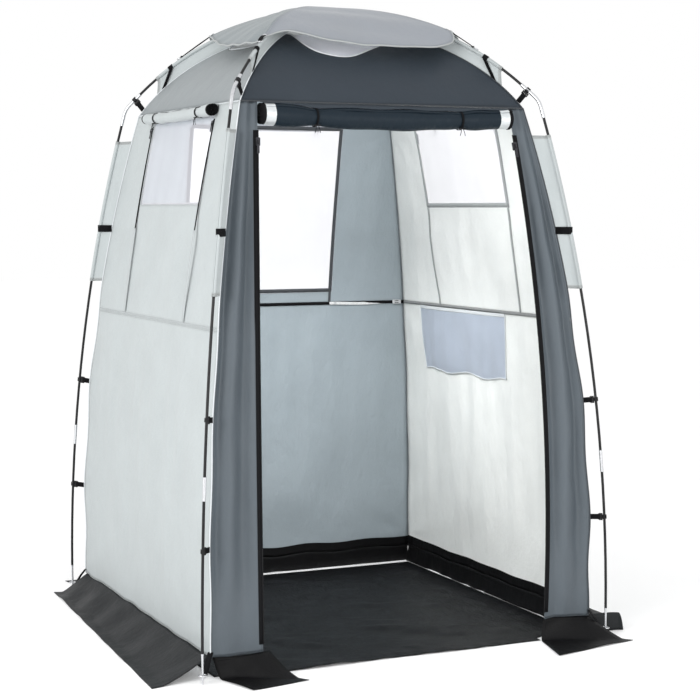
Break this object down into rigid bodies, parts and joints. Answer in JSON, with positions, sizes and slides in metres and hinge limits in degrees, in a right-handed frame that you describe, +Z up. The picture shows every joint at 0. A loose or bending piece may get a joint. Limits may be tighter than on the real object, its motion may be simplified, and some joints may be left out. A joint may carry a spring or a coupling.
{
  "type": "privacy shower tent",
  "caption": "Square privacy shower tent: crossed pole arches outside a bowed fabric cabin, with a rolled-up door, rolled window covers, a vent below a fly cap, ground skirts and a loose floor.",
  "frame": {"origin": "on the ground at the middle of the cabin", "axes": "+Z up, the doorway faces -Y, +X to the right of someone who looks in through the doorway"},
  "size_m": [1.85, 1.85, 2.22],
  "materials": {
    "pole_black": "satin black fibreglass",
    "steel": "bright drawn steel",
    "elastic_cord": "braided elastic",
    "black_plastic": "moulded",
    "black_webbing": "woven tape",
    "light_cloth": "coated polyester, light cool grey",
    "dark_cloth": "coated polyester, dark grey, silver coated inside",
    "white_mesh": "fine netting",
    "window_film": "clear flexible film",
    "black_zip": "woven tape with coil",
    "floor_cloth": "coated sheet",
    "skirt_cloth": "coated polyester",
    "pocket_mesh": "netting",
    "white_webbing": "woven tape"
  },
  "bodies": {
    "tent": {"back_cover_roll": "dark_cloth", "back_wall_lower": "dark_cloth", "back_wall_upper": "dark_cloth", "back_window_sheet": "window_film", "clip_webbing": "black_webbing", "door_roll": "dark_cloth", "door_zips": "black_zip", "foot_pins": "steel", "front_panel_left": "dark_cloth", "front_panel_right": "dark_cloth", "hanging_strap": "white_webbing", "left_cover_roll": "light_cloth", "left_wall_lower": "light_cloth", "left_wall_upper": "light_cloth", "left_window_sheet": "window_film", "leg_pole_back_left": "pole_black", "leg_pole_back_right": "pole_black", "leg_pole_front_left": "pole_black", "leg_pole_front_right": "pole_black", "leg_sleeves": "light_cloth", "mesh_pocket": "pocket_mesh", "pole_clips": "black_plastic", "pole_elbows": "steel", "pole_ferrules": "steel", "right_cover_roll": "light_cloth", "right_wall_lower": "light_cloth", "right_wall_upper": "light_cloth", "right_window_sheet": "window_film", "roll_ties": "black_plastic", "roof_back": "dark_cloth", "roof_front": "dark_cloth", "roof_left": "light_cloth", "roof_pole_back_left": "pole_black", "roof_pole_back_right": "pole_black", "roof_pole_front_left": "pole_black", "roof_pole_front_right": "pole_black", "roof_right": "light_cloth", "roof_sleeves": "light_cloth", "shock_cords": "elastic_cord", "skirt_back": "skirt_cloth", "skirt_front_left": "skirt_cloth", "skirt_front_right": "skirt_cloth", "skirt_left": "skirt_cloth", "skirt_right": "skirt_cloth", "steel_rings": "steel", "vent_mesh": "white_mesh", "window_zips": "black_zip"},
    "door_slider_left": {"door_slider_left": "black_plastic"},
    "door_pull_left": {"door_pull_left": "black_plastic"},
    "door_slider_right": {"door_slider_right": "black_plastic"},
    "door_pull_right": {"door_pull_right": "black_plastic"},
    "left_window_slider_a": {"left_window_slider_a": "black_plastic"},
    "left_window_slider_b": {"left_window_slider_b": "black_plastic"},
    "right_window_slider_a": {"right_window_slider_a": "black_plastic"},
    "right_window_slider_b": {"right_window_slider_b": "black_plastic"},
    "back_window_slider_a": {"back_window_slider_a": "black_plastic"},
    "back_window_slider_b": {"back_window_slider_b": "black_plastic"},
    "fly_cap": {"fly_cap": "light_cloth", "cap_ties": "black_webbing"},
    "floor": {"floor_sheet": "floor_cloth"}
  },
  "joints": [
    {"name": "door_zip_left", "type": "hinge", "parent": "tent", "child": "door_slider_left", "pos_m": [2.00218, 5.0992, 0.30249], "axis": [0.9166, -0.3996, 0.0101], "range_deg": [0, 14.52]},
    {"name": "door_pull_swing_left", "type": "hinge", "parent": "door_slider_left", "child": "door_pull_left", "pos_m": [-0.47987, -0.56467, 1.71327], "axis": [-0.9969, 0.0165, 0.0774], "range_deg": [0, 150]},
    {"name": "door_zip_right", "type": "hinge", "parent": "tent", "child": "door_slider_right", "pos_m": [-2.00218, 5.0992, 0.30249], "axis": [0.9166, 0.3996, -0.0101], "range_deg": [0, 14.52]},
    {"name": "door_pull_swing_right", "type": "hinge", "parent": "door_slider_right", "child": "door_pull_right", "pos_m": [0.47987, -0.56467, 1.71327], "axis": [-0.9969, -0.0165, -0.0774], "range_deg": [0, 150]},
    {"name": "left_window_zip_a", "type": "hinge", "parent": "tent", "child": "left_window_slider_a", "pos_m": [6.19, 0, 0.275], "axis": [0, -1, 0], "range_deg": [0, 5.43]},
    {"name": "left_window_zip_b", "type": "hinge", "parent": "tent", "child": "left_window_slider_b", "pos_m": [6.19, 0, 0.275], "axis": [0, -1, 0], "range_deg": [0, 5.43]},
    {"name": "right_window_zip_a", "type": "hinge", "parent": "tent", "child": "right_window_slider_a", "pos_m": [-6.19, 0, 0.275], "axis": [0, 1, 0], "range_deg": [0, 5.43]},
    {"name": "right_window_zip_b", "type": "hinge", "parent": "tent", "child": "right_window_slider_b", "pos_m": [-6.19, 0, 0.275], "axis": [0, 1, 0], "range_deg": [0, 5.43]},
    {"name": "back_window_zip_a", "type": "hinge", "parent": "tent", "child": "back_window_slider_a", "pos_m": [0, -6.19, 0.275], "axis": [-1, 0, 0], "range_deg": [0, 5.43]},
    {"name": "back_window_zip_b", "type": "hinge", "parent": "tent", "child": "back_window_slider_b", "pos_m": [0, -6.19, 0.275], "axis": [-1, 0, 0], "range_deg": [0, 5.43]},
    {"name": "fly_cap_lift", "type": "slide", "parent": "tent", "child": "fly_cap", "axis": [0, 0, 1], "range_m": [0, 0.3]},
    {"name": "floor_lift", "type": "slide", "parent": "tent", "child": "floor", "axis": [0, 0, 1], "range_m": [0, 0.3]}
  ]
}
